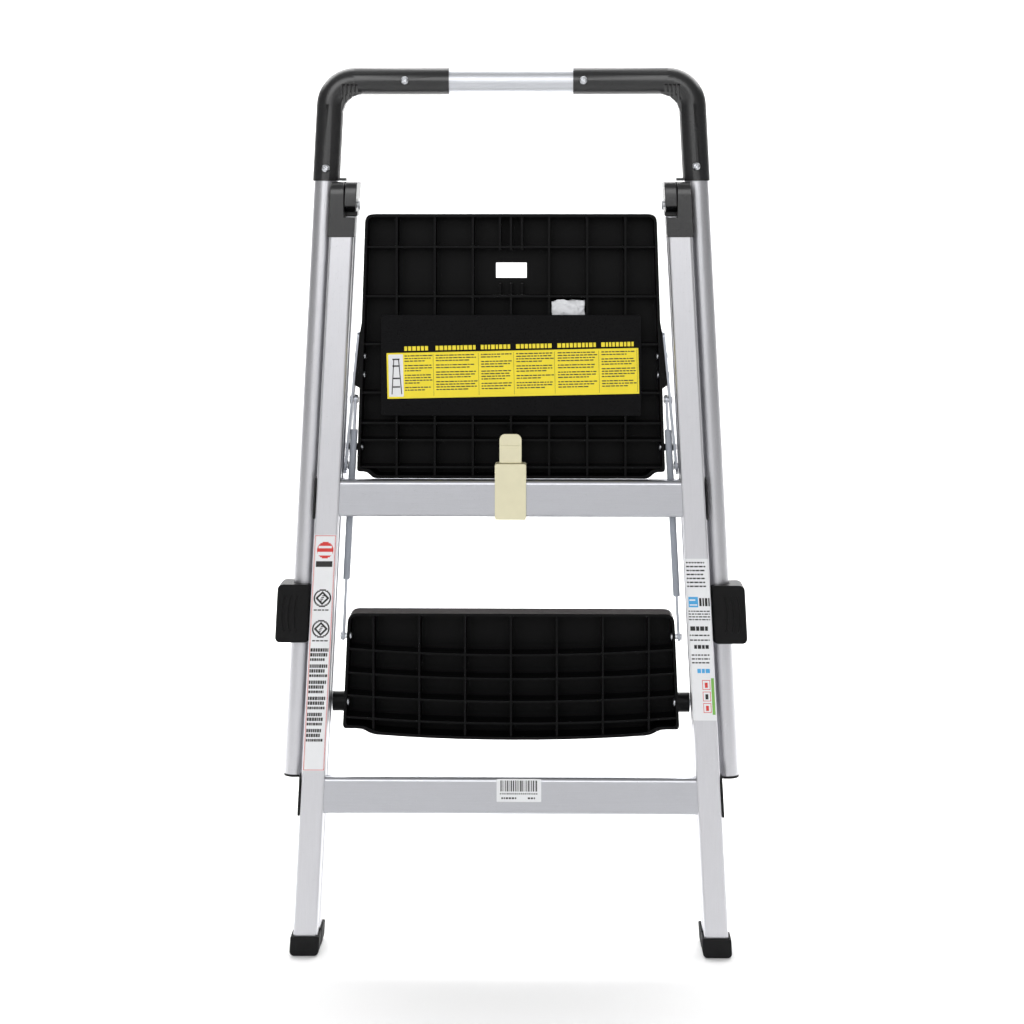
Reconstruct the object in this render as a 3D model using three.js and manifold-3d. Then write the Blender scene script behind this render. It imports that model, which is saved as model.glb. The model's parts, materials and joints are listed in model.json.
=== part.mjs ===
// A folding two-step stool with a handrail, shown folded flat and standing on its feet.
//
// Millimetres. +Z is up and the feet stand on z = 0. +X is the stool's right when it is seen from
// behind, and +Y is the climbing side, so the ribbed undersides of both steps face -Y when folded.
// The front frame carries the handrail, both steps and the links. The rear frame hangs from two
// hinges at the top. Both frames lean outwards towards the floor at the same splay, and every
// pivot is parallel to X, so a piece keeps its X as it folds.

import * as THREE from 'three';
import { mergeVertices } from 'three/addons/utils/BufferGeometryUtils.js';
import Module from 'manifold-3d';

// ---- driving dimensions ----

const gap = 0.3;                    // between two pieces that touch
const overallHeight = 927;
const handleRise = 145;             // from the hinges up to the top of the handle
const platformDrop = 275;           // from the hinges down to the platform's pivot
const stepRise = 249;               // from the lower step's pivot up to the platform's
const splay = Math.tan(THREE.MathUtils.degToRad(2.95));
const hingeHeight = overallHeight - handleRise;

const legInnerX = 161.9;            // inner face of a front leg, at the hinge's height
const frontLegWidth = 22;
const frontLegDepth = 30;
const rearLegWidth = 25;
const rearLegDepth = 20;
const rearLegX = legInnerX + 0.4 + rearLegWidth / 2;   // centre of a rear leg, at the hinge's height
const rearLegFrontY = -7;
const legWall = 1.6;
const hingeY = rearLegFrontY - 1;

// A leaning piece's X at a height, from its X at the hinge's height.
const splayedX = (x, z) => x + splay * (hingeHeight - z);

const railRadius = 12.7;
const railWall = 1.5;
const railSocketDepth = 45;

const frameTopZ = hingeHeight + 24;           // top of the hinge blocks
const frontLegTop = hingeHeight - 12.5;
const rearLegTop = hingeHeight - 17.5;
const socketBottom = hingeHeight - 34;
const socketWidth = rearLegWidth + 2.4;
const hingeSplitX = rearLegX - 1.2;           // where the two halves of a hinge meet
const hingePinRadius = 3.5;

const cornerRadius = 14.5;                    // radius of the handle corner's own tube
const cornerBottom = frameTopZ + 1;
const cornerBend = 25;                        // bend radius of its centre line
const cornerEndX = legInnerX - 96.4;          // where the corner ends and the bare grip begins
const railScrewX = { left: cornerEndX + 46.3, right: cornerEndX + 10.7 };
const postScrewZ = { left: cornerBottom + 13, right: cornerBottom + 15 };
const screwRadius = 1.8;
const screwHeadRadius = 4.1;

const pivotY = 6;                             // both steps turn about this line, inside the front legs
const platformPivotZ = hingeHeight - platformDrop;
const stepPivotZ = platformPivotZ - stepRise;
const linkArm = 70;                           // from a step's pivot up to its link pin
const linkPinY = 2;
const pinRadius = 3;
const rivetRadius = 2.2;

const crossbarHeight = 38.3;
const crossbarDepth = 16;
const crossbarY = rearLegFrontY - rearLegDepth / 2;
const upperCrossbarTop = platformPivotZ - 12.5;
const upperCrossbarBottom = upperCrossbarTop - crossbarHeight;
const lowerCrossbarTop = stepPivotZ - 73.2;
const lowerCrossbarBottom = lowerCrossbarTop - crossbarHeight;
const railBottom = stepPivotZ - 77;

const frontBarHeight = 38;
const frontBarBottom = platformPivotZ - 17 - frontBarHeight;
const frontBarThickness = 4.7;

const footHeight = 20;
const footSole = 4;
const frontFootOverhang = 3;                  // how far a foot stands out past its leg, in Y
const rearFootOverhang = 3.5;

const stepUnderside = -2.5;                   // the rims of both steps when folded
const treadY = frontLegDepth + 2;             // the treads of both steps when folded
const treadThickness = 3;
const ribThickness = 2.2;
const ribSetback = 3;                         // how far the ribs stop short of the rim
const skirt = 3;

const platformLength = 278;
const platformBottom = platformPivotZ - 13;
const platformTop = platformBottom + platformLength;
const platformTopHalf = splayedX(legInnerX, platformTop) - 9.215;
const platformBottomHalf = splayedX(legInnerX, platformBottom) - 14.442;
const slotWidth = 32.5;
const slotBottom = platformPivotZ + 197;
const slotTop = slotBottom + 16;
const boardMargin = 25.3;                     // from the platform's side to the label board
const boardHeight = 106;
const boardBottom = platformPivotZ + 53;
const boardTop = boardBottom + boardHeight;

const stepLength = 121;
const stepCornerZ = stepPivotZ - 27;          // underside of the lower step's side corners
const stepTop = stepCornerZ + stepLength;
const stepCrownZ = stepCornerZ - 11.5;        // lowest point of its crowned front edge
const stepTopHalf = splayedX(legInnerX, stepTop) - 12.56;
const stepBottomHalf = splayedX(legInnerX, stepCornerZ) - 13.395;

const linkCentreX = legInnerX - 9.07;         // centre of a link, at the hinge's height
const linkThickness = 2.6;
const linkWidth = 10;
const sleeveWidth = 7;
const sleeveDepth = 12;
const sleeveTop = platformPivotZ + 38;
const sleeveBottom = { left: stepPivotZ + linkArm + 60, right: stepPivotZ + linkArm + 43 };

const bracketThickness = 2.5;
const bracketInnerX = splayedX(legInnerX, platformPivotZ) - 3.47;   // at the platform pivot
const bracketLean = 0.097;

const clampWidth = 32.6;
const clampTop = upperCrossbarTop + 17.5;
const tongueWidth = 23;
const tongueThickness = 2.8;
const tongueTop = clampTop + 31;
const tongueY = crossbarY - 7.5;

const clipHeight = 61;
const clipBottom = stepPivotZ + 64;
const clipTop = clipBottom + clipHeight;

// Centres the whole stool on y = 0.
const frontmostY = frontLegDepth + gap + frontBarThickness;
const rearmostY = rearLegFrontY - rearLegDepth - rearFootOverhang;
const middleShiftY = -(frontmostY + rearmostY) / 2;

// ---- materials ----

const finish = (color, roughness, metalness) =>
  new THREE.MeshStandardMaterial({ color, roughness, metalness });

const aluminium = finish(0xc9cacc, 0.38, 1);
const steel = finish(0xb9bcc0, 0.28, 1);
const blackPlastic = finish(0x1d1e21, 0.55, 0);
const greySleeve = finish(0xb7bcc6, 0.5, 0);
const paleLatch = finish(0xe6e0be, 0.5, 0);
const blackRubber = finish(0x17181a, 0.8, 0);

// ---- joining and cutting ----

const wasm = await Module();
wasm.setup();

function toSolid(geometry) {
  const bare = geometry.clone();
  bare.deleteAttribute('normal');
  bare.deleteAttribute('uv');
  const merged = mergeVertices(bare, 1e-5);
  return new wasm.Manifold(new wasm.Mesh({
    numProp: 3,
    vertProperties: new Float32Array(merged.attributes.position.array),
    triVerts: new Uint32Array(merged.index.array),
  }));
}

function toGeometry(solid) {
  const mesh = solid.getMesh();
  const geometry = new THREE.BufferGeometry();
  const positions = new Float32Array(mesh.vertProperties);
  geometry.setAttribute('position', new THREE.BufferAttribute(positions, 3));
  geometry.setIndex(new THREE.BufferAttribute(new Uint32Array(mesh.triVerts), 1));
  geometry.computeVertexNormals();
  return geometry;
}

const asSolid = (piece) => (piece instanceof THREE.BufferGeometry ? toSolid(piece) : piece);
const join = (first, ...others) => others.reduce((sum, next) => sum.add(asSolid(next)), asSolid(first));
const cut = (first, ...tools) => tools.reduce((rest, tool) => rest.subtract(asSolid(tool)), asSolid(first));
const common = (first, second) => asSolid(first).intersect(asSolid(second));

// ---- basic shapes ----

function block(x0, x1, y0, y1, z0, z1) {
  const low = Math.min(x0, x1);
  const high = Math.max(x0, x1);
  const geometry = new THREE.BoxGeometry(high - low, y1 - y0, z1 - z0);
  return geometry.translate((low + high) / 2, (y0 + y1) / 2, (z0 + z1) / 2);
}

// A cylinder along X from x0 to x1.
function rodX(radius, x0, x1, y, z, sides = 16) {
  const geometry = new THREE.CylinderGeometry(radius, radius, Math.abs(x1 - x0), sides);
  return geometry.rotateZ(Math.PI / 2).translate((x0 + x1) / 2, y, z);
}

// A cylinder along Y from y0 to y1.
function rodY(radius, x, y0, y1, z, sides = 16) {
  const geometry = new THREE.CylinderGeometry(radius, radius, y1 - y0, sides);
  return geometry.translate(x, (y0 + y1) / 2, z);
}

// A cylinder along Z from z0 to z1.
function rodZ(radius, x, y, z0, z1, sides = 24) {
  const geometry = new THREE.CylinderGeometry(radius, radius, z1 - z0, sides);
  return geometry.rotateX(Math.PI / 2).translate(x, y, (z0 + z1) / 2);
}

function roundedRectangle(x0, x1, y0, y1, radius) {
  const shape = new THREE.Shape();
  shape.moveTo(x0 + radius, y0);
  shape.absarc(x1 - radius, y0 + radius, radius, -Math.PI / 2, 0);
  shape.absarc(x1 - radius, y1 - radius, radius, 0, Math.PI / 2);
  shape.absarc(x0 + radius, y1 - radius, radius, Math.PI / 2, Math.PI);
  shape.absarc(x0 + radius, y0 + radius, radius, Math.PI, Math.PI * 1.5);
  return shape;
}

function circle(x, y, radius) {
  const shape = new THREE.Shape();
  shape.absarc(x, y, radius, 0, Math.PI * 2);
  return shape;
}

// A shape drawn in X and Y, raised from z0 to z1.
function column(shape, z0, z1, curveSegments = 2) {
  const options = { depth: z1 - z0, bevelEnabled: false, curveSegments };
  return new THREE.ExtrudeGeometry(shape, options).translate(0, 0, z0);
}

// A shape drawn in X and Z, carried from y0 to y1.
function slab(shape, y0, y1, curveSegments = 3) {
  const options = { depth: y1 - y0, bevelEnabled: false, curveSegments };
  return new THREE.ExtrudeGeometry(shape, options).rotateX(Math.PI / 2).translate(0, y1, 0);
}

// A shape drawn in Y and Z, carried from x0 to x1 on either side of the middle.
function plate(shape, x0, x1, curveSegments = 4) {
  const low = Math.min(x0, x1);
  const options = { depth: Math.abs(x1 - x0), bevelEnabled: false, curveSegments };
  const geometry = new THREE.ExtrudeGeometry(shape, options);
  geometry.rotateX(Math.PI / 2).rotateZ(Math.PI / 2);
  return geometry.translate(low, 0, 0);
}

// Leans a piece outwards as it goes down, about the height where it keeps its X.
function lean(geometry, side, slope = splay, fixedZ = hingeHeight) {
  const shear = new THREE.Matrix4().set(
    1, 0, -side * slope, side * slope * fixedZ,
    0, 1, 0, 0,
    0, 0, 1, 0,
    0, 0, 0, 1,
  );
  return geometry.clone().applyMatrix4(shear);
}

const bracketX = (z) => bracketInnerX + bracketLean * (platformPivotZ - z);

// ---- the group ----

const stool = new THREE.Group();
stool.position.y = middleShiftY;

// Adds one piece. Its geometry is drawn where it stands, so the mesh takes its own middle as origin.
function add(name, piece, material) {
  const geometry = piece instanceof THREE.BufferGeometry ? piece.clone() : toGeometry(piece);
  geometry.computeBoundingBox();
  const middle = geometry.boundingBox.getCenter(new THREE.Vector3());
  geometry.translate(-middle.x, -middle.y, -middle.z);
  const mesh = new THREE.Mesh(geometry, material);
  mesh.name = name;
  mesh.position.copy(middle);
  stool.add(mesh);
}

const sides = [['left', -1], ['right', 1]];

// ---- legs and rails ----

function tubeShape(x, y, width, depth, radius) {
  const shape = roundedRectangle(x - width / 2, x + width / 2, y - depth / 2, y + depth / 2, radius);
  const innerRadius = Math.max(radius - legWall, 0.4);
  shape.holes.push(roundedRectangle(
    x - width / 2 + legWall, x + width / 2 - legWall,
    y - depth / 2 + legWall, y + depth / 2 - legWall, innerRadius,
  ));
  return shape;
}

const frontLegX = legInnerX + frontLegWidth / 2;
const frontLegY = frontLegDepth / 2;
const rearLegY = rearLegFrontY - rearLegDepth / 2;
const railX = legInnerX + frontLegWidth + gap + railRadius;
const railY = frontLegY;
const legCorner = 3;

function frontLeg(side) {
  const shape = tubeShape(side * frontLegX, frontLegY, frontLegWidth, frontLegDepth, legCorner);
  const leg = lean(column(shape, footSole + gap, frontLegTop), side);
  const drill = (z) => rodX(pinRadius + gap, side * (splayedX(legInnerX, z) - 4),
    side * splayedX(frontLegX, z), pivotY, z);
  return cut(leg, drill(platformPivotZ), drill(stepPivotZ));
}

function rearLeg(side) {
  const shape = tubeShape(side * rearLegX, rearLegY, rearLegWidth, rearLegDepth, legCorner);
  const leg = lean(column(shape, footSole + gap, rearLegTop), side);
  return cut(leg, crossbarBody(upperCrossbarBottom, gap), crossbarBody(lowerCrossbarBottom, gap));
}

function rail(side) {
  const shape = circle(side * railX, railY, railRadius);
  shape.holes.push(circle(side * railX, railY, railRadius - railWall));
  const tube = lean(column(shape, railBottom, cornerBottom + railSocketDepth - gap, 16), side);
  const z = postScrewZ[side < 0 ? 'left' : 'right'];
  const x = side * splayedX(railX, z);
  return cut(tube, rodY(screwRadius + gap, x, railY - railRadius - 2, railY, z, 12));
}

function railPlug(side) {
  const x = side * railX;
  const insert = railRadius - railWall - gap;
  const flange = rodZ(railRadius, x, railY, railBottom - gap - 2.5, railBottom - gap);
  const shank = rodZ(insert, x, railY, railBottom - gap - 1, railBottom + 14);
  return join(lean(flange, side), lean(shank, side));
}

// ---- handle ----

const handleZ = overallHeight - cornerRadius;

// Bend of the corner's centre line: from the leaning post to the level grip.
function handleBend(side) {
  const topX = splayedX(railX, handleZ);
  const reach = cornerBend;
  const start = new THREE.Vector3(side * splayedX(railX, handleZ - reach), railY, handleZ - reach);
  const corner = new THREE.Vector3(side * topX, railY, handleZ);
  const end = new THREE.Vector3(side * (topX - reach), railY, handleZ);
  const curve = new THREE.CubicBezierCurve3(
    start, start.clone().lerp(corner, 0.56), end.clone().lerp(corner, 0.56), end,
  );
  const section = new THREE.Shape();
  section.absarc(0, 0, cornerRadius, 0, Math.PI * 2);
  const options = { steps: 10, curveSegments: 12, bevelEnabled: false, extrudePath: curve };
  return new THREE.ExtrudeGeometry(section, options);
}

function handleCorner(side, name) {
  const overlap = 0.6;
  const postTop = handleZ - cornerBend + overlap;
  const post = lean(rodZ(cornerRadius, side * railX, railY, cornerBottom, postTop, 24), side);
  const endX = splayedX(railX, handleZ) - cornerBend + overlap;
  const level = rodX(cornerRadius, side * cornerEndX, side * endX, railY, handleZ);
  const webTop = handleZ - cornerRadius + 1;
  const webX = splayedX(railX, webTop) - cornerRadius + 1;
  const webReach = 20;
  const web = new THREE.Shape();
  web.moveTo(side * (webX + 3), webTop + 3);
  web.lineTo(side * (webX - webReach), webTop + 3);
  web.lineTo(side * (webX - webReach), webTop);
  web.quadraticCurveTo(side * (webX - 2), webTop - 2, side * (webX + 1.2), webTop - webReach);
  web.lineTo(side * (webX + 3), webTop - webReach);
  const webHalf = 8;
  const tab = block(side * (splayedX(railX, cornerBottom) - cornerRadius - 7),
    side * (splayedX(railX, cornerBottom) - cornerRadius + 3), railY - 7, railY + 7,
    cornerBottom, cornerBottom + 3);
  const whole = join(post, handleBend(side), level, slab(web, railY - webHalf, railY + webHalf), tab);
  const ribs = [4.5, 9, 13.5].map((offset) => block(side * (webX - offset), side * (webX - offset + 2.4),
    railY - webHalf - 1, railY - webHalf + 5, webTop - 16 + offset, webTop - 1));
  const postBore = lean(rodZ(railRadius + gap, side * railX, railY, cornerBottom - 1,
    cornerBottom + railSocketDepth), side);
  const gripBore = rodX(railRadius + gap, side * (cornerEndX - 1), side * (cornerEndX + railSocketDepth),
    railY, handleZ, 32);
  const screwX = side * railScrewX[name];
  const postZ = postScrewZ[name];
  const postX = side * splayedX(railX, postZ);
  const front = railY - cornerRadius - 2;
  return cut(whole, postBore, gripBore, ...ribs,
    rodY(screwRadius + gap, screwX, front, railY, handleZ, 12),
    rodY(screwRadius + gap, postX, front, railY, postZ, 12));
}

function grip() {
  const half = cornerEndX + railSocketDepth - gap;
  const shape = circle(0, 0, railRadius);
  shape.holes.push(circle(0, 0, railRadius - railWall));
  const tube = new THREE.ExtrudeGeometry(shape, { depth: 2 * half, bevelEnabled: false, curveSegments: 16 });
  tube.translate(0, 0, -half).rotateY(Math.PI / 2).translate(0, railY, handleZ);
  const holes = sides.map(([name, side]) =>
    rodY(screwRadius + gap, side * railScrewX[name], railY - railRadius - 2, railY, handleZ, 12));
  return cut(tube, ...holes);
}

// A pan-head screw driven along +Y into the handle.
function screw(x, z) {
  const seat = railY - cornerRadius - gap;
  const profile = [[0, 0], [screwHeadRadius, 0], [screwHeadRadius, 1], [2.6, 2.3], [0, 2.6]];
  const points = profile.map(([radius, height]) => new THREE.Vector2(radius, -height));
  points.reverse();
  const head = new THREE.LatheGeometry(points, 16).translate(x, seat, z);
  return join(head, rodY(screwRadius, x, seat - 1, seat + 8, z, 12));
}

// ---- hinges ----

// Upper half of a hinge: a plug in the front leg, a cap over it and a lug that reaches back.
function hingeHead(side) {
  const y0 = 0.7;
  const inner = legInnerX - 0.8;
  const outer = legInnerX + frontLegWidth - 0.2;
  const cap = lean(block(side * inner, side * outer, y0, frontLegDepth, frontLegTop + gap, frameTopZ), side);
  const plugInset = legWall + gap + 0.5;
  const plug = lean(block(side * (legInnerX + plugInset), side * (legInnerX + frontLegWidth - plugInset),
    plugInset, frontLegDepth - plugInset, frontLegTop - 40, frontLegTop + 2), side);
  const lug = new THREE.Shape();
  lug.moveTo(y0 + 3, hingeHeight - 7.5);
  lug.lineTo(y0 + 3, frameTopZ);
  lug.lineTo(hingeY - 9, frameTopZ);
  lug.quadraticCurveTo(hingeY - 18.5, frameTopZ - 1, hingeY - 18.5, frameTopZ - 13);
  lug.lineTo(hingeY - 18.5, hingeHeight - 1.6);
  lug.lineTo(hingeY - 11.2, hingeHeight - 7.5);
  const innerHalf = block(side * (hingeSplitX - socketWidth), side * (hingeSplitX - gap), -60, 60,
    socketBottom - 20, frameTopZ + 20);
  const lugPlate = plate(lug, side * (rearLegX - socketWidth / 2), side * hingeSplitX);
  const arm = common(lean(lugPlate, side), innerHalf);
  return cut(join(cap, plug, arm), hingeBore(side));
}

function hingeBore(side) {
  const inner = rearLegX - socketWidth;
  const outer = rearLegX + socketWidth;
  return rodX(hingePinRadius + gap, side * inner, side * outer, hingeY, hingeHeight);
}

// Lower half of a hinge: a cap on the rear leg whose outer half rises to the pin.
function hingeSocket(side) {
  const x0 = rearLegX - socketWidth / 2;
  const x1 = rearLegX + socketWidth / 2;
  const backY = hingeY + 7.4;
  const faceY = rearLegFrontY - rearLegDepth - 1.4;
  const body = new THREE.Shape();
  body.moveTo(backY, socketBottom);
  body.lineTo(backY, hingeHeight + 2);
  body.lineTo(hingeY - 6.5, frameTopZ - 3.5);
  body.quadraticCurveTo(hingeY - 9, frameTopZ, hingeY - 12, frameTopZ - 0.6);
  body.quadraticCurveTo(faceY, frameTopZ - 3, faceY, frameTopZ - 14);
  body.lineTo(faceY, socketBottom);
  const whole = lean(plate(body, side * x0, side * x1), side);
  const lugRoom = block(side * (hingeSplitX - socketWidth), side * hingeSplitX, -60, 60,
    hingeHeight - 13.5, frameTopZ + 20);
  const pocket = lean(block(side * (rearLegX - rearLegWidth / 2 - gap),
    side * (rearLegX + rearLegWidth / 2 + gap),
    rearLegFrontY - rearLegDepth - gap, rearLegFrontY + gap, socketBottom - 1, rearLegTop + gap), side);
  return cut(whole, lugRoom, pocket, hingeBore(side));
}

function hingePin(side) {
  const face = rearLegX - socketWidth / 2 - 1.2;
  const head = rodX(6.2, side * (face - 2), side * (face - gap), hingeY, hingeHeight);
  const shank = rodX(hingePinRadius, side * (face - 1), side * (face + socketWidth), hingeY, hingeHeight);
  return join(head, shank);
}

// ---- crossbars ----

const rearLegOuterX = rearLegX + rearLegWidth / 2;

function crossbarBody(bottom, extra, halfLength = splayedX(rearLegOuterX, 0) + 5) {
  const y0 = crossbarY - crossbarDepth / 2 - extra;
  const y1 = crossbarY + crossbarDepth / 2 + extra;
  const section = roundedRectangle(y0, y1, bottom - extra, bottom + crossbarHeight + extra, 4.5 + extra);
  return plate(section, -halfLength, halfLength, 2);
}

function crossbar(bottom) {
  const half = splayedX(rearLegOuterX, bottom + crossbarHeight) - gap;
  const innerHalfDepth = crossbarDepth / 2 - legWall;
  const inner = roundedRectangle(crossbarY - innerHalfDepth, crossbarY + innerHalfDepth,
    bottom + legWall, bottom + crossbarHeight - legWall, 3);
  return cut(crossbarBody(bottom, 0, half), plate(inner, -half - 1, half + 1, 2));
}

// A cap that closes the end of a crossbar, on the outer face of the rear leg.
function endCap(side, bottom) {
  const margin = 3;
  const face = roundedRectangle(crossbarY - crossbarDepth / 2 - 1, crossbarY + crossbarDepth / 2 + 1,
    bottom - margin, bottom + crossbarHeight + margin, 5);
  const flange = lean(plate(face, side * (rearLegOuterX + gap), side * (rearLegOuterX + gap + 2), 2), side);
  const end = splayedX(rearLegOuterX, bottom + crossbarHeight);
  const inset = legWall + gap;
  const plug = block(side * (end - 9), side * (end + gap + 1.2),
    crossbarY - crossbarDepth / 2 + inset + 0.6, crossbarY + crossbarDepth / 2 - inset - 0.6,
    bottom + inset + 1, bottom + crossbarHeight - inset - 1);
  return join(flange, plug);
}

// A flat bar across the front faces of the front legs, just under the platform's front edge.
function frontBar() {
  const half = splayedX(legInnerX + frontLegWidth, frontBarBottom + frontBarHeight) - 1;
  const shape = roundedRectangle(-half, half, frontBarBottom, frontBarBottom + frontBarHeight, 3);
  return slab(shape, frontLegDepth + gap, frontLegDepth + gap + frontBarThickness, 3);
}

// ---- feet ----

function foot(side, x, legWidth, legY0, legY1, overhang) {
  const radius = 5;
  const halfWidth = legWidth / 2 + 2.65;
  const outline = new THREE.Shape();
  const x0 = side * x - halfWidth;
  const x1 = side * x + halfWidth;
  outline.moveTo(x0 + radius, 0);
  outline.absarc(x1 - radius, radius, radius, -Math.PI / 2, 0);
  outline.lineTo(x1, footHeight);
  outline.lineTo(x0, footHeight);
  outline.absarc(x0 + radius, radius, radius, Math.PI, Math.PI * 1.5);
  const body = lean(slab(outline, legY0 - overhang, legY1 + overhang), side);
  const pocket = lean(block(side * (x - legWidth / 2 - gap), side * (x + legWidth / 2 + gap),
    legY0 - gap, legY1 + gap, footSole, footHeight + 1), side);
  return cut(body, pocket);
}

// ---- platform and lower step ----

// Half-widths of the two steps at a height.
const platformHalf = (z) => THREE.MathUtils.mapLinear(z, platformTop, platformBottom,
  platformTopHalf, platformBottomHalf);
const stepHalf = (z) => THREE.MathUtils.mapLinear(z, stepTop, stepCornerZ, stepTopHalf, stepBottomHalf);

// Mirrors a right-hand outline, listed from the bottom middle to the top middle, into a whole one.
function mirrored(drawHalf) {
  const half = drawHalf(new THREE.Path()).getPoints(5);
  const left = half.slice(1, -1).reverse().map((point) => new THREE.Vector2(-point.x, point.y));
  return new THREE.Shape([...half, ...left]);
}

function platformOutline(inset) {
  const bottom = platformBottom + inset;
  const top = platformTop - inset;
  const x = (z) => platformHalf(z) - inset;
  const corner = 9 - Math.min(inset, 5);
  return mirrored((path) => {
    path.moveTo(0, bottom);
    const turn = platformBottomHalf - 14.3 - inset;
    path.lineTo(turn - 7, bottom);
    path.bezierCurveTo(turn, bottom, turn, bottom + 7, turn + 7, bottom + 7);
    path.lineTo(x(bottom + 7) - 4, bottom + 7);
    path.quadraticCurveTo(x(bottom + 7), bottom + 7, x(bottom + 11), bottom + 11);
    path.lineTo(x(top - corner), top - corner);
    path.quadraticCurveTo(x(top), top, x(top) - corner, top);
    path.lineTo(0, top);
    return path;
  });
}

function stepOutline(inset) {
  const crown = stepCrownZ + inset;
  const cornerZ = stepCornerZ + inset;
  const top = stepTop - inset;
  const x = (z) => stepHalf(z) - inset;
  const corner = 10 - Math.min(inset, 5);
  return mirrored((path) => {
    path.moveTo(0, crown);
    const turn = stepBottomHalf - 24.9 - inset;
    path.quadraticCurveTo(stepBottomHalf * 0.418, crown, turn - 11, crown + 5);
    path.bezierCurveTo(turn + 1, crown + 6.5, turn - 1, cornerZ, turn + 11, cornerZ);
    path.lineTo(x(cornerZ) - 4, cornerZ);
    path.quadraticCurveTo(x(cornerZ), cornerZ, x(cornerZ + 5), cornerZ + 5);
    path.lineTo(x(top - corner), top - corner);
    path.quadraticCurveTo(x(top), top, x(top) - corner, top);
    path.lineTo(0, top);
    return path;
  });
}

// A moulded step: a tread with a skirt round it and ribs behind.
function mouldedStep(outlineOf, ribs) {
  const shell = cut(slab(outlineOf(0), stepUnderside, treadY),
    slab(outlineOf(skirt), stepUnderside - 1, treadY - treadThickness));
  const inside = slab(outlineOf(skirt / 2), stepUnderside + ribSetback, treadY - treadThickness + 0.5);
  return join(shell, common(join(...ribs), inside));
}

function uprightRib(x, z0, z1) {
  return block(x - ribThickness / 2, x + ribThickness / 2, stepUnderside, treadY, z0, z1);
}

function levelRib(z, half) {
  return block(-half, half, stepUnderside, treadY, z - ribThickness / 2, z + ribThickness / 2);
}

const platformRibPitch = platformTopHalf / 3.82;
const platformRibZ = [230.4, 178.4, 128, 77, 45, 27, -1.5].map((rise) => platformPivotZ + rise);
// y and z of the rivets of a bracket
const bracketRivets = [[12, platformPivotZ + 19], [11, platformPivotZ + 95], [11, platformPivotZ + 115]];
const earBottom = platformPivotZ + 85;
const earTop = platformPivotZ + 143;

function platformDeck() {
  const upright = [-3, -2, -1, 0, 1, 2, 3].map((step) =>
    uprightRib(step * platformRibPitch, platformBottom, platformTop));
  const close = [-11.6, 11.6].map((x) => uprightRib(x, platformRibZ[1], platformTop));
  const level = platformRibZ.map((z) => levelRib(z, platformBottomHalf));
  let deck = mouldedStep(platformOutline, [...upright, ...close, ...level]);
  for (const [, side] of sides) {
    const ear = new THREE.Shape();
    const face = (z) => side * (bracketX(z) - gap);
    ear.moveTo(side * (platformHalf(earBottom) - 1), earBottom - 4);
    ear.lineTo(face(earBottom), earBottom);
    ear.lineTo(face(earTop), earTop);
    ear.lineTo(side * (platformHalf(earTop) - 1), earTop + 12);
    const [lugY, lugZ] = bracketRivets[0];
    const lugRod = rodX(3.8, side * (platformHalf(lugZ) - 2), side * (bracketX(lugZ) - gap), lugY, lugZ);
    const lug = lean(lugRod, side, bracketLean, lugZ);
    deck = join(deck, slab(ear, stepUnderside, 20), lug);
    for (const [y, z] of bracketRivets) {
      const holeEnd = side * (bracketX(z) + 2);
      deck = cut(deck, rodX(rivetRadius + gap, side * (platformHalf(z) - 12), holeEnd, y, z, 12));
    }
  }
  const slot = block(-slotWidth / 2, slotWidth / 2, -20, treadY + 5, slotBottom, slotTop);
  // The close ribs stop short of the slot, so that the latch can swing in between them.
  const roomHalf = clampWidth / 2 + 1.4;
  const roomTop = slotTop + 14;
  const roomBottom = platformRibZ[1] + ribThickness / 2 + 0.8;
  const shallow = block(-roomHalf, roomHalf, -20, 17, roomBottom, roomTop);
  const deep = block(-roomHalf, roomHalf, 10, treadY - treadThickness, slotBottom - 5.5, roomTop);
  return cut(deck, slot, shallow, deep);
}

const stepRibPitch = stepTopHalf / 3.551;
const stepRibZ = [56.6, 31.6, 7.7, -15.2].map((rise) => stepPivotZ + rise);
const stepRibSag = 6.8;

// A rib that sags towards the middle, as the crowned front edge does.
function saggingRib(z, half) {
  const rib = new THREE.Shape();
  rib.moveTo(-half, z - ribThickness / 2);
  rib.quadraticCurveTo(0, z - ribThickness / 2 - 2 * stepRibSag, half, z - ribThickness / 2);
  rib.lineTo(half, z + ribThickness / 2);
  rib.quadraticCurveTo(0, z + ribThickness / 2 - 2 * stepRibSag, -half, z + ribThickness / 2);
  return slab(rib, stepUnderside, treadY, 12);
}

function lowerStep() {
  const upright = [-3, -2, -1, 0, 1, 2, 3].map((place) =>
    uprightRib(place * stepRibPitch, stepCrownZ, stepTop));
  const level = stepRibZ.map((z) => saggingRib(z, stepBottomHalf));
  let step = mouldedStep(stepOutline, [...upright, ...level]);
  for (const [, side] of sides) {
    const bossEnd = splayedX(legInnerX, stepPivotZ) - 1.2;
    const boss = rodX(10.4, side * (stepHalf(stepPivotZ) - 2), side * bossEnd, pivotY + 1, stepPivotZ);
    const bore = (x0, x1, y, z) => rodX(pinRadius + gap, side * x0, side * x1, y, z);
    const pivotBore = bore(stepHalf(stepPivotZ) - 20, bossEnd + 2, pivotY, stepPivotZ);
    const linkZ = stepPivotZ + linkArm;
    const linkBore = bore(stepHalf(linkZ) - 20, stepHalf(linkZ) + 5, linkPinY, linkZ);
    step = cut(join(step, boss), pivotBore, linkBore);
  }
  return step;
}

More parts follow.
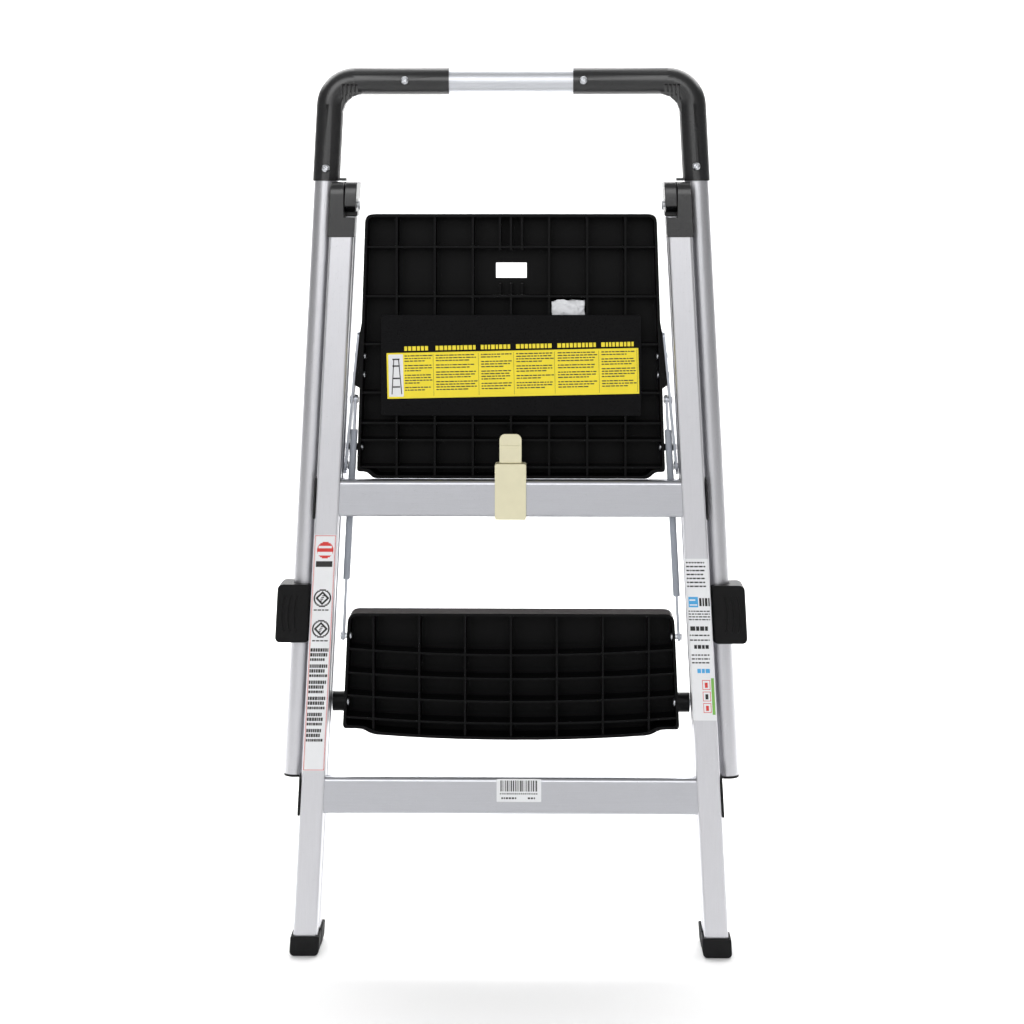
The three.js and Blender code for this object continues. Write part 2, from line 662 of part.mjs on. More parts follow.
// The plate that carries the platform: riveted to its ear, turning on the pivot pin.
function bracket(side) {
  const top = earTop - 2;
  const pinZ = platformPivotZ + linkArm;
  const outline = new THREE.Shape();
  outline.absarc(pivotY, platformPivotZ, 9, Math.PI, Math.PI * 2);
  outline.lineTo(19, platformPivotZ + 23);
  outline.lineTo(19, top - 5);
  outline.absarc(14, top - 5, 5, 0, Math.PI / 2);
  outline.lineTo(0, top);
  outline.absarc(0, top - 5, 5, Math.PI / 2, Math.PI);
  outline.lineTo(linkPinY - 7, pinZ);
  outline.lineTo(linkPinY - 7, pinZ - 8);
  const body = lean(plate(outline, side * bracketInnerX, side * (bracketInnerX + bracketThickness)), side,
    bracketLean, platformPivotZ);
  const hole = (radius, y, z) =>
    rodX(radius + gap, side * (bracketX(z) - 8), side * (bracketX(z) + 10), y, z);
  return cut(body, hole(pinRadius, pivotY, platformPivotZ), hole(pinRadius, linkPinY, pinZ),
    ...bracketRivets.map(([y, z]) => hole(rivetRadius, y, z)));
}

// A rivet through the platform's skirt and its bracket, headed at both ends.
function bracketRivet(side, y, z) {
  const inner = platformHalf(z) - skirt - 0.6;
  const outer = bracketX(z) + bracketThickness + 0.5;
  const headRadius = 4;
  return join(rodX(rivetRadius, side * (inner - 1), side * (outer + 0.5), y, z, 12),
    rodX(headRadius, side * (inner - 1.8), side * inner, y, z, 12),
    rodX(headRadius, side * outer, side * (outer + 0.8), y, z, 12));
}

function platformPivot(side) {
  const inner = bracketX(platformPivotZ) - 1.2;
  const end = splayedX(legInnerX, platformPivotZ) + legWall + 5;
  return join(rodX(pinRadius, side * inner, side * end, pivotY, platformPivotZ),
    rodX(5, side * (inner - 0.4), side * (inner + 0.7), pivotY, platformPivotZ));
}

function stepPivot(side) {
  const inner = stepHalf(stepPivotZ) - skirt - 0.6;
  const end = splayedX(legInnerX, stepPivotZ) + legWall + 5;
  return join(rodX(pinRadius, side * (inner - 1), side * end, pivotY, stepPivotZ),
    rodX(5, side * (inner - 1.9), side * inner, pivotY, stepPivotZ));
}

function upperLinkPin(side) {
  const z = platformPivotZ + linkArm;
  const inner = splayedX(linkCentreX, z) - linkThickness / 2 - 0.6;
  const outer = bracketX(z) + bracketThickness + 0.5;
  return join(rodX(pinRadius, side * (inner - 0.5), side * (outer + 0.5), linkPinY, z),
    rodX(4.6, side * (inner - 1.1), side * inner, linkPinY, z),
    rodX(4.6, side * outer, side * (outer + 1.2), linkPinY, z));
}

function lowerLinkPin(side) {
  const z = stepPivotZ + linkArm;
  const inner = stepHalf(z) - skirt - 0.6;
  const outer = splayedX(linkCentreX, z) + linkThickness / 2 + 0.7;
  return join(rodX(pinRadius, side * (inner - 1), side * (outer + 0.5), linkPinY, z),
    rodX(4, side * (inner - 1.6), side * inner, linkPinY, z),
    rodX(4.6, side * outer, side * (outer + 1.4), linkPinY, z));
}

// A thin board on the ribs of the platform's underside, where a label sits.
function labelBoard() {
  const half = platformBottomHalf - boardMargin;
  const shape = roundedRectangle(-half, half, boardBottom, boardTop, 3);
  return slab(shape, stepUnderside + 0.6, stepUnderside + ribSetback - gap, 3);
}

// ---- links ----

function linkBar(side) {
  const top = platformPivotZ + linkArm;
  const bottom = stepPivotZ + linkArm;
  const outline = new THREE.Shape();
  outline.absarc(linkPinY, bottom, linkWidth / 2, Math.PI, Math.PI * 2);
  outline.absarc(linkPinY, top, linkWidth / 2, 0, Math.PI);
  const half = linkThickness / 2;
  const bar = lean(plate(outline, side * (linkCentreX - half), side * (linkCentreX + half)), side);
  const hole = (z) => rodX(pinRadius + gap, side * (splayedX(linkCentreX, z) - 8),
    side * (splayedX(linkCentreX, z) + 8), linkPinY, z);
  return cut(bar, hole(top), hole(bottom));
}

function linkSleeve(side, bottom) {
  const x = side * linkCentreX;
  const shape = roundedRectangle(x - sleeveWidth / 2, x + sleeveWidth / 2,
    linkPinY - sleeveDepth / 2, linkPinY + sleeveDepth / 2, 2.6);
  const roomX = linkThickness / 2 + gap;
  const roomY = linkWidth / 2 + gap;
  shape.holes.push(roundedRectangle(x - roomX, x + roomX, linkPinY - roomY, linkPinY + roomY, 0.4));
  return lean(column(shape, bottom, sleeveTop), side);
}

// ---- latch ----

const tongueHinge = clampTop + gap + tongueThickness / 2;

function latchClamp() {
  const wall = 2.6;
  const y0 = crossbarY - crossbarDepth / 2 - gap - wall;
  const y1 = crossbarY + crossbarDepth / 2 + gap + wall;
  const shape = roundedRectangle(-clampWidth / 2, clampWidth / 2, upperCrossbarBottom - gap - 2, clampTop, 2);
  const room = crossbarBody(upperCrossbarBottom, gap);
  const back = block(-clampWidth / 2 - 1, clampWidth / 2 + 1, crossbarY, y1 + 1,
    upperCrossbarBottom - 10, upperCrossbarBottom + 16);
  return cut(slab(shape, y0, y1, 3), room, back);
}

function latchTongue() {
  const half = tongueWidth / 2;
  const shape = new THREE.Shape();
  shape.moveTo(-half, tongueHinge);
  shape.lineTo(half, tongueHinge);
  shape.lineTo(half, tongueTop - 6);
  shape.absarc(half - 6, tongueTop - 6, 6, 0, Math.PI / 2);
  shape.absarc(-half + 6, tongueTop - 6, 6, Math.PI / 2, Math.PI);
  const blade = slab(shape, tongueY - tongueThickness / 2, tongueY + tongueThickness / 2, 5);
  const root = rodX(tongueThickness / 2, -half, half, tongueY, tongueHinge, 12);
  const step = block(-half + 1, half - 1, tongueY - tongueThickness / 2 - 0.7, tongueY,
    tongueTop - 13.5, tongueTop - 12);
  return join(blade, root, step);
}

// ---- side clips ----

// A moulded clip that turns on the handrail tube, beside the rear leg.
function sideClip(side) {
  const inner = rearLegOuterX + 0.5 - railX;
  const outer = 27.7;
  const y0 = -23;
  const y1 = 16;
  const at = (x) => side * (railX + x);
  const low = Math.min(at(inner), at(outer));
  const high = Math.max(at(inner), at(outer));
  const face = roundedRectangle(low, high, clipBottom, clipTop, 6);
  const profile = roundedRectangle(low, high, railY + y0, railY + y1, 3.5);
  const body = common(slab(face, railY + y0, railY + y1), column(profile, clipBottom, clipTop));
  const bore = column(circle(side * railX, railY, railRadius + gap), clipBottom - 1, clipTop + 1, 12);
  const mouth = block(at(inner - 1), at(3), railY, railY + y1 + 1, clipBottom - 1, clipTop + 1);
  const grooves = [4, 10.5, 17].map((offset) => {
    const band = new THREE.Shape();
    const middle = (clipBottom + clipTop) / 2;
    const height = 19;
    band.moveTo(at(offset), middle - height);
    band.quadraticCurveTo(at(offset + 5), middle, at(offset), middle + height);
    band.lineTo(at(offset + 2), middle + height);
    band.quadraticCurveTo(at(offset + 7), middle, at(offset + 2), middle - height);
    return slab(band, railY + y0 - 1, railY + y0 + 1.2, 8);
  });
  return lean(toGeometry(cut(body, bore, mouth, ...grooves)), side);
}

// ---- assembly ----

for (const [name, side] of sides) {
  add(`front_leg_${name}`, frontLeg(side), aluminium);
  add(`handrail_tube_${name}`, rail(side), aluminium);
  add(`handrail_plug_${name}`, railPlug(side), blackPlastic);
  add(`handle_corner_${name}`, handleCorner(side, name), blackPlastic);
  add(`grip_screw_${name}`, screw(side * railScrewX[name], handleZ), steel);
  add(`post_screw_${name}`, screw(side * splayedX(railX, postScrewZ[name]), postScrewZ[name]), steel);
  add(`hinge_head_${name}`, hingeHead(side), blackPlastic);
  add(`hinge_pin_${name}`, hingePin(side), steel);
  add(`front_foot_${name}`, foot(side, frontLegX, frontLegWidth, 0, frontLegDepth, frontFootOverhang),
    blackRubber);
  add(`platform_pivot_${name}`, platformPivot(side), steel);
  add(`step_pivot_${name}`, stepPivot(side), steel);
  add(`side_clip_${name}`, sideClip(side), blackPlastic);
  add(`rear_leg_${name}`, rearLeg(side), aluminium);
  add(`hinge_socket_${name}`, hingeSocket(side), blackPlastic);
  add(`upper_end_cap_${name}`, endCap(side, upperCrossbarBottom), blackPlastic);
  add(`lower_end_cap_${name}`, endCap(side, lowerCrossbarBottom), blackPlastic);
  add(`rear_foot_${name}`, foot(side, rearLegX, rearLegWidth, rearLegFrontY - rearLegDepth, rearLegFrontY,
    rearFootOverhang), blackRubber);
  add(`platform_bracket_${name}`, bracket(side), steel);
  bracketRivets.forEach(([y, z], index) => {
    add(`bracket_rivet_${name}_${index + 1}`, bracketRivet(side, y, z), steel);
  });
  add(`upper_link_pin_${name}`, upperLinkPin(side), steel);
  add(`lower_link_pin_${name}`, lowerLinkPin(side), steel);
  add(`link_bar_${name}`, linkBar(side), steel);
  add(`link_sleeve_${name}`, linkSleeve(side, sleeveBottom[name]), greySleeve);
}
add('handle_grip', grip(), aluminium);
add('front_crossbar', frontBar(), aluminium);
add('rear_crossbar_upper', crossbar(upperCrossbarBottom), aluminium);
add('rear_crossbar_lower', crossbar(lowerCrossbarBottom), aluminium);
add('latch_clamp', latchClamp(), paleLatch);
add('latch_tongue', latchTongue(), paleLatch);
add('platform_deck', platformDeck(), blackPlastic);
add('label_board', labelBoard(), blackPlastic);
add('lower_step', lowerStep(), blackPlastic);

export default stool;
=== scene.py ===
import json
import math
import random

import bmesh
import bpy
from mathutils import Matrix, Vector, noise

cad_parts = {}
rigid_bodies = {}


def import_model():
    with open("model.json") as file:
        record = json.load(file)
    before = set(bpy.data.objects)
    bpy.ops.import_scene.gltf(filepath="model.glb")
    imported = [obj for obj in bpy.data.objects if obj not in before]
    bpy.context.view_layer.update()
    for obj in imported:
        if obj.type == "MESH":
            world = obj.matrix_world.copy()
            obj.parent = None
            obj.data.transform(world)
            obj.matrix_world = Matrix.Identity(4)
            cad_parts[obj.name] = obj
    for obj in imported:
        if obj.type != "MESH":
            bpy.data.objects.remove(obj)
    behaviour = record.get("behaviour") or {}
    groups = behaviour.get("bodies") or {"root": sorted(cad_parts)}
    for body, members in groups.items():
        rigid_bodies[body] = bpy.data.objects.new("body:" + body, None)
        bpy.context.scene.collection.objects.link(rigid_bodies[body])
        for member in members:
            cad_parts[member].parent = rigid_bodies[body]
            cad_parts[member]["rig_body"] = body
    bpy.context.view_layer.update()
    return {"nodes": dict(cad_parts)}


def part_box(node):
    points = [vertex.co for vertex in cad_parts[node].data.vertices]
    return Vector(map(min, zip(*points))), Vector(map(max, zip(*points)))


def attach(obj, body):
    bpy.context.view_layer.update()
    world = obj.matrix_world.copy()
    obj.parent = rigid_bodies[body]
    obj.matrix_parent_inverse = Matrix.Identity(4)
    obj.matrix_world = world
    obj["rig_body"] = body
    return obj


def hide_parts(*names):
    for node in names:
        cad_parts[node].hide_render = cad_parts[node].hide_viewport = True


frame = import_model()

MM = 0.001
rng = random.Random(11)

# Sizes shared with the CAD, in millimetres. The CAD's own y is moved by MIDDLE_SHIFT_Y.
MIDDLE_SHIFT_Y = -2.25
SPLAY = math.tan(math.radians(2.95))
HINGE_Z = 782.0
REAR_LEG_X = 174.8
REAR_LEG_HALF_WIDTH = 12.5
REAR_LEG_CORNER = 3.0
REAR_FACE_Y = -27.0 + MIDDLE_SHIFT_Y
BOARD_FACE_Y = -1.9 + MIDDLE_SHIFT_Y
TREAD_Y = 32.0 + MIDDLE_SHIFT_Y
CROSSBAR_FACE_Y = -25.0 + MIDDLE_SHIFT_Y
SCREW_SEAT_Y = 0.5 - 0.3 + MIDDLE_SHIFT_Y


# ---- materials ----

def srgb(red, green, blue):
    """Linear colour from 0-255 display values."""
    def linear(v):
        v = v / 255
        return v / 12.92 if v <= 0.04045 else ((v + 0.055) / 1.055) ** 2.4
    return (linear(red), linear(green), linear(blue), 1.0)


def scaled(colour, factor):
    return tuple(min(1.0, c * factor) for c in colour[:3]) + (1.0,)


def surface(name, colour, roughness, metallic=0.0, stretch=(1, 1, 1), scale=400.0, mottle=0.06,
            rough_spread=0.06, bump=0.02, bump_distance=0.0002, fine_scale=2400.0, coat=0.0, specular=0.5):
    """A finish whose colour, roughness and relief all vary a little, in the piece's own coordinates."""
    mat = bpy.data.materials.new(name)
    mat.use_nodes = True
    tree = mat.node_tree
    bsdf = tree.nodes["Principled BSDF"]
    coords = tree.nodes.new("ShaderNodeTexCoord")
    mapping = tree.nodes.new("ShaderNodeMapping")
    mapping.inputs["Scale"].default_value = stretch
    tree.links.new(coords.outputs["Object"], mapping.inputs["Vector"])

    broad = tree.nodes.new("ShaderNodeTexNoise")
    broad.inputs["Scale"].default_value = scale
    broad.inputs["Detail"].default_value = 4.0
    broad.inputs["Roughness"].default_value = 0.55
    tree.links.new(mapping.outputs["Vector"], broad.inputs["Vector"])

    fine = tree.nodes.new("ShaderNodeTexNoise")
    fine.inputs["Scale"].default_value = fine_scale
    fine.inputs["Detail"].default_value = 2.0
    tree.links.new(mapping.outputs["Vector"], fine.inputs["Vector"])

    tint = tree.nodes.new("ShaderNodeValToRGB")
    tint.color_ramp.elements[0].position = 0.3
    tint.color_ramp.elements[0].color = scaled(colour, 1 - mottle)
    tint.color_ramp.elements[1].position = 0.7
    tint.color_ramp.elements[1].color = scaled(colour, 1 + mottle)
    tree.links.new(broad.outputs["Fac"], tint.inputs["Fac"])
    tree.links.new(tint.outputs["Color"], bsdf.inputs["Base Color"])

    rough = tree.nodes.new("ShaderNodeMapRange")
    rough.inputs["From Min"].default_value = 0.3
    rough.inputs["From Max"].default_value = 0.7
    rough.inputs["To Min"].default_value = max(0.02, roughness - rough_spread)
    rough.inputs["To Max"].default_value = min(1.0, roughness + rough_spread)
    tree.links.new(fine.outputs["Fac"], rough.inputs["Value"])
    tree.links.new(rough.outputs["Result"], bsdf.inputs["Roughness"])

    relief = tree.nodes.new("ShaderNodeBump")
    relief.inputs["Strength"].default_value = bump
    relief.inputs["Distance"].default_value = bump_distance
    tree.links.new(fine.outputs["Fac"], relief.inputs["Height"])
    tree.links.new(relief.outputs["Normal"], bsdf.inputs["Normal"])

    bsdf.inputs["Metallic"].default_value = metallic
    bsdf.inputs["Coat Weight"].default_value = coat
    bsdf.inputs["Coat Roughness"].default_value = 0.2
    bsdf.inputs["Specular IOR Level"].default_value = specular
    return mat


# Extruded tube shows faint lines along its own length.
upright_metal = surface("aluminium_upright", srgb(205, 205, 209), 0.34, 0.94, stretch=(14, 14, 0.35),
                        scale=90, mottle=0.025, rough_spread=0.07, bump=0.12, fine_scale=420)
# The level bars use the uprights' aluminium with its grain turned across, painted darker as painted shade.
shaded_level_metal = surface("aluminium_level_painted_shade", srgb(187, 188, 193), 0.34, 0.94, stretch=(0.35, 14, 14), scale=90,
                      mottle=0.025, rough_spread=0.07, bump=0.12, fine_scale=420)
grip_metal = surface("aluminium_grip", srgb(206, 208, 213), 0.42, 0.95, stretch=(0.25, 26, 26), scale=70,
                     mottle=0.09, rough_spread=0.08, bump=0.3, fine_scale=300)
steel = surface("steel", srgb(196, 198, 202), 0.3, 1.0, scale=260, mottle=0.06, bump=0.08)
bracket_steel = surface("bracket_steel", srgb(170, 174, 182), 0.38, 1.0, stretch=(1, 1, 0.2), scale=260,
                        mottle=0.06, bump=0.08)
black_plastic = surface("black_plastic", srgb(12, 12, 14), 0.38, 0.0, scale=170, mottle=0.16,
                        rough_spread=0.08, bump=0.35, bump_distance=0.00012, fine_scale=2600, specular=0.3)
handle_plastic = surface("handle_plastic", srgb(13, 13, 15), 0.3, 0.0, scale=170, mottle=0.16,
                         rough_spread=0.07, bump=0.3, bump_distance=0.00012, fine_scale=2600, specular=0.7)
step_plastic = surface("step_plastic", srgb(6, 6, 7), 0.4, 0.0, scale=60, mottle=0.22, rough_spread=0.1,
                       bump=0.25, bump_distance=0.00012, fine_scale=1800, specular=0.1)
# Lighter brownish grey for the lower step's upward top faces: a painted highlight standing in for the
# overhead light falling on them.
painted_highlight_plastic = surface("painted_highlight_plastic", srgb(40, 36, 36), 0.75, 0.0, scale=120, mottle=0.14, rough_spread=0.08,
                      bump=0.25, bump_distance=0.00012, fine_scale=1800, specular=0.03)
clip_plastic = surface("clip_plastic", srgb(10, 10, 11), 0.42, 0.0, scale=120, mottle=0.18, rough_spread=0.08,
                       bump=0.3, bump_distance=0.00012, fine_scale=2200, specular=0.16)
board_plastic = surface("board_plastic", srgb(8, 8, 10), 0.3, 0.0, scale=40, mottle=0.12, rough_spread=0.05,
                        bump=0.06, bump_distance=0.0001, fine_scale=900, specular=0.09)
black_rubber = surface("black_rubber", srgb(16, 16, 17), 0.7, 0.0, scale=150, mottle=0.18, bump=0.5,
                       bump_distance=0.00015, fine_scale=1800, specular=0.22)
grey_sleeve = surface("grey_sleeve", srgb(148, 153, 162), 0.48, 0.0, stretch=(1, 1, 0.3), scale=120,
                      mottle=0.05, bump=0.1)
pale_latch = surface("pale_latch", srgb(221, 215, 183), 0.42, 0.0, scale=60, mottle=0.03, bump=0.1,
                     fine_scale=1500)
yellow_print = surface("yellow_print", srgb(238, 217, 34), 0.42, 0.0, scale=60, mottle=0.03, bump=0.04)
white_print = surface("white_print", srgb(226, 227, 229), 0.45, 0.0, scale=60, mottle=0.02, bump=0.04)
paper = surface("paper", srgb(226, 227, 230), 0.6, 0.0, scale=120, mottle=0.06, bump=0.15)
dark_print = surface("dark_print", srgb(26, 25, 24), 0.5, 0.0, scale=200, mottle=0.08, bump=0.04)
red_print = surface("red_print", srgb(205, 52, 46), 0.45, 0.0, scale=100, mottle=0.04, bump=0.04)
blue_print = surface("blue_print", srgb(70, 160, 214), 0.45, 0.0, scale=100, mottle=0.04, bump=0.04)
green_print = surface("green_print", srgb(120, 176, 80), 0.45, 0.0, scale=100, mottle=0.04, bump=0.04)


# ---- pieces that copy the CAD, with their edges rounded ----

def node_mesh(node):
    """A clean copy of a CAD node's mesh, flat faces merged, for rounding its edges."""
    mesh = frame["nodes"][node].data.copy()
    mesh.materials.clear()
    bm = bmesh.new()
    bm.from_mesh(mesh)
    bmesh.ops.remove_doubles(bm, verts=bm.verts, dist=1e-6)
    bmesh.ops.dissolve_limit(bm, angle_limit=math.radians(0.6), verts=bm.verts, edges=bm.edges)
    bm.normal_update()
    bm.to_mesh(mesh)
    bm.free()
    return mesh


def body_of(node):
    return frame["nodes"][node]["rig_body"]


def finish_piece(obj, edge, smooth_angle=48, segments=2):
    """Rounds the sharp edges of a piece and shades it as flats joined by small rounds."""
    if edge:
        bevel = obj.modifiers.new("round", "BEVEL")
        bevel.width = edge * MM
        bevel.segments = segments
        bevel.limit_method = "ANGLE"
        bevel.angle_limit = math.radians(50)
        bevel.harden_normals = False
        bevel.use_clamp_overlap = True
    for polygon in obj.data.polygons:
        polygon.use_smooth = True
    with bpy.context.temp_override(object=obj, selected_editable_objects=[obj], active_object=obj):
        bpy.ops.object.shade_smooth_by_angle(angle=math.radians(smooth_angle))
    weighted = obj.modifiers.new("weighted", "WEIGHTED_NORMAL")
    weighted.keep_sharp = True
    weighted.weight = 60


def link(name, mesh):
    obj = bpy.data.objects.new(name, mesh)
    bpy.context.scene.collection.objects.link(obj)
    return obj


def rounded(node, mat, edge, smooth_angle=48, segments=2):
    obj = link("look_" + node, node_mesh(node))
    obj.data.materials.append(mat)
    finish_piece(obj, edge, smooth_angle, segments)
    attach(obj, body_of(node))
    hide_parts(node)
    return obj


SIDES = (("left", -1), ("right", 1))

for side, _ in SIDES:
    rounded(f"front_leg_{side}", upright_metal, 0.3)
    rounded(f"rear_leg_{side}", upright_metal, 0.3)
    rounded(f"handrail_tube_{side}", upright_metal, 0.3)
    rounded(f"handrail_plug_{side}", black_plastic, 0.6)
    rounded(f"hinge_head_{side}", handle_plastic, 0.8)
    rounded(f"hinge_socket_{side}", handle_plastic, 0.8)
    rounded(f"upper_end_cap_{side}", black_plastic, 0.6)
    rounded(f"lower_end_cap_{side}", black_plastic, 0.6)
    rounded(f"front_foot_{side}", black_rubber, 1.0)
    rounded(f"rear_foot_{side}", black_rubber, 1.0)
    rounded(f"platform_bracket_{side}", bracket_steel, 0.3)
    rounded(f"link_bar_{side}", bracket_steel, 0.3)
    rounded(f"link_sleeve_{side}", grey_sleeve, 0.5)
    rounded(f"side_clip_{side}", clip_plastic, 2.2, 40, 4)
rounded("handle_grip", grip_metal, 0.3)
# The crossbars take the aluminium that is painted darker as shade.
rounded("front_crossbar", shaded_level_metal, 0.8)
rounded("rear_crossbar_upper", shaded_level_metal, 0.4)
rounded("rear_crossbar_lower", shaded_level_metal, 0.4)
rounded("latch_clamp", pale_latch, 0.8)
rounded("latch_tongue", pale_latch, 0.7)
rounded("platform_deck", step_plastic, 0.45, 40)
step = rounded("lower_step", step_plastic, 0.45, 40)
# The step's upward top faces take the lighter material as a painted highlight.
step.data.materials.append(painted_highlight_plastic)
for face in step.data.polygons:
    if face.normal.z > 0.9 and face.center.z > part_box("lower_step")[1].z - 1.5 * MM:
        face.material_index = 1
rounded("label_board", board_plastic, 0.4)


# ---- pins, rivets and screws, turned round instead of faceted ----

def lathe(bm, profile, place, sides=28):
    """A solid of revolution about its own +Z, profile listed as (radius, height) from bottom to top."""
    rings = []
    for radius, height in profile:
        if radius <= 0:
            rings.append([bm.verts.new(place @ Vector((0, 0, height)))])
            continue
        ring = []
        for i in range(sides):
            turn = 2 * math.pi * i / sides
            spot = Vector((radius * math.cos(turn), radius * math.sin(turn), height))
            ring.append(bm.verts.new(place @ spot))
        rings.append(ring)
    for low, high in zip(rings, rings[1:]):
        for i in range(sides):
            j = (i + 1) % sides
            if len(low) == 1:
                bm.faces.new((low[0], high[j], high[i]))
            elif len(high) == 1:
                bm.faces.new((low[i], low[j], high[0]))
            else:
                bm.faces.new((low[i], low[j], high[j], high[i]))


def build(name, fill, mats, body, edge=0.0, smooth_angle=40, segments=2, replaced=()):
    """A new piece: fill(bm) draws it in metres in the frame's own axes."""
    mesh = bpy.data.meshes.new(name)
    bm = bmesh.new()
    fill(bm)
    bmesh.ops.recalc_face_normals(bm, faces=bm.faces)
    bm.to_mesh(mesh)
    bm.free()
    for mat in mats:
        mesh.materials.append(mat)
    obj = link(name, mesh)
    finish_piece(obj, edge, smooth_angle, segments)
    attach(obj, body)
    if replaced:
        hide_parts(*replaced)
    return obj


def along_x(x, y, z, outward):
    """Places a lathe so that its +Z points along X, away from the middle when outward is the side's sign."""
    turn = Matrix.Rotation(math.pi / 2 * outward, 4, "Y")
    return Matrix.Translation((x * MM, y * MM, z * MM)) @ turn @ Matrix.Scale(MM, 4)


def round_pin(node, side_sign, radius, inner_head, inner_thick, outer_head, outer_thick, mat=steel):
    """A pin lying along X in the box of its CAD node, with a domed head at either end or none."""
    low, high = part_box(node)
    y = (low.y + high.y) / 2 / MM
    z = (low.z + high.z) / 2 / MM
    x_in, x_out = (low.x, high.x) if side_sign > 0 else (high.x, low.x)
    length = abs(x_out - x_in) / MM
    profile = [(0, 0)]
    if inner_head:
        profile += [(inner_head * 0.55, 0), (inner_head * 0.86, inner_thick * 0.22),
                    (inner_head, inner_thick * 0.7), (inner_head, inner_thick)]
    else:
        profile += [(radius - 0.5, 0)]
    profile += [(radius, inner_thick if inner_head else 0.5)]
    if outer_head:
        profile += [(radius, length - outer_thick), (outer_head, length - outer_thick),
                    (outer_head, length - outer_thick * 0.7),
                    (outer_head * 0.86, length - outer_thick * 0.22), (outer_head * 0.55, length)]
    else:
        profile += [(radius, length - 0.5), (radius - 0.5, length)]
    profile += [(0, length)]

    def fill(bm):
        lathe(bm, profile, along_x(x_in / MM, y, z, side_sign))
    build("look_" + node, fill, [mat], body_of(node), replaced=(node,))


for side, sign in SIDES:
    round_pin(f"hinge_pin_{side}", sign, 3.5, 6.2, 1.7, 0, 0)
    round_pin(f"platform_pivot_{side}", sign, 3.0, 5.0, 1.1, 0, 0)
    round_pin(f"step_pivot_{side}", sign, 3.0, 5.0, 1.9, 0, 0)
    round_pin(f"upper_link_pin_{side}", sign, 3.0, 4.6, 1.1, 4.6, 1.2)
    round_pin(f"lower_link_pin_{side}", sign, 3.0, 4.0, 1.6, 4.6, 1.4)
    for number in (1, 2, 3):
        round_pin(f"bracket_rivet_{side}_{number}", sign, 2.2, 4.0, 1.8, 4.0, 0.8)


def carve(obj, place_tools, self_cut=True):
    """Cuts the tools that place_tools(bm) draws out of a piece and keeps the result."""
    shape = bpy.data.meshes.new("tool")
    bm = bmesh.new()
    place_tools(bm)
    bm.to_mesh(shape)
    bm.free()
    cutter = link("cutter", shape)
    cut = obj.modifiers.new("cut", "BOOLEAN")
    cut.operation = "DIFFERENCE"
    cut.object = cutter
    cut.solver = "EXACT"
    cut.use_self = self_cut
    dg = bpy.context.evaluated_depsgraph_get()
    solid = bpy.data.meshes.new_from_object(obj.evaluated_get(dg))
    obj.modifiers.clear()
    obj.data = solid
    bpy.data.objects.remove(cutter)
    bpy.data.meshes.remove(shape)


def bar(bm, x0, x1, y0, y1, z0, z1):
    made = bmesh.ops.create_cube(bm, size=1.0)
    middle = Vector(((x0 + x1) / 2, (y0 + y1) / 2, (z0 + z1) / 2)) * MM
    size = (abs(x1 - x0) * MM, abs(y1 - y0) * MM, abs(z1 - z0) * MM, 1)
    bmesh.ops.transform(bm, matrix=Matrix.Translation(middle) @ Matrix.Diagonal(size), verts=made["verts"])


# The handle corners, with a ribbed pocket moulded into the inside of each bend.
POCKET_Z = (892.0, 908.5)
POCKET_X = (161.5, 177.5)
POCKET_Y = (-12, 6.5)
POCKET_CELLS = 4
POCKET_RIB = 1.5


def handle_corner(side, sign):
    node = f"handle_corner_{side}"
    obj = link("look_" + node, node_mesh(node))
    obj.data.materials.append(handle_plastic)
    width = (POCKET_X[1] - POCKET_X[0] - POCKET_RIB * (POCKET_CELLS - 1)) / POCKET_CELLS

    def pockets(bm):
        for number in range(POCKET_CELLS):
            start = POCKET_X[0] + number * (width + POCKET_RIB)
            bar(bm, sign * start, sign * (start + width), *POCKET_Y, *POCKET_Z)
    carve(obj, pockets, False)
    finish_piece(obj, 0.5, 40, 2)
    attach(obj, body_of(node))
    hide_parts(node)


for side, sign in SIDES:
    handle_corner(side, sign)


SCREW_HEAD_TOP = 2.6


def cross_screw(node):
    """A pan-head screw facing -Y with a cross recess."""
    low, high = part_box(node)
    x = (low.x + high.x) / 2 / MM
    z = (low.z + high.z) / 2 / MM
    place = Matrix.Translation((x * MM, SCREW_SEAT_Y * MM, z * MM)) @ Matrix.Rotation(math.pi / 2, 4, "X")
    place = place @ Matrix.Scale(MM, 4)

    def fill(bm):
        lathe(bm, [(0, -8), (1.3, -8), (1.8, -7), (1.8, 0), (4.1, 0), (4.1, 0.8), (3.7, 1.6), (2.7, 2.2),
                   (1.4, 2.5), (0, SCREW_HEAD_TOP)], place, 32)
    obj = build("look_" + node, fill, [steel], body_of(node), replaced=(node,))

    def recess(bm):
        for turn in (math.radians(24), math.radians(114)):
            made = bmesh.ops.create_cube(bm, size=1.0)
            slot = (place @ Matrix.Rotation(turn, 4, "Z") @ Matrix.Translation((0, 0, SCREW_HEAD_TOP))
                    @ Matrix.Diagonal((4.6, 0.95, 2.4, 1)))
            bmesh.ops.transform(bm, matrix=slot, verts=made["verts"])
    carve(obj, recess)
    finish_piece(obj, 0, 32)


for side, _ in SIDES:
    cross_screw(f"grip_screw_{side}")
    cross_screw(f"post_screw_{side}")


# ---- printed sheets ----

def prism(bm, outline, point, y_back, y_front, index):
    """A thin sheet of the given outline. point(u, v) returns x and z in millimetres."""
    front, back = [], []
    for u, v in outline:
        x, z = point(u, v)
        front.append(bm.verts.new((x * MM, y_front * MM, z * MM)))
        back.append(bm.verts.new((x * MM, y_back * MM, z * MM)))
    faces = [bm.faces.new(front), bm.faces.new(list(reversed(back)))]
    count = len(outline)
    for i in range(count):
        j = (i + 1) % count
        faces.append(bm.faces.new((front[i], back[i], back[j], front[j])))
    for face in faces:
        face.material_index = index


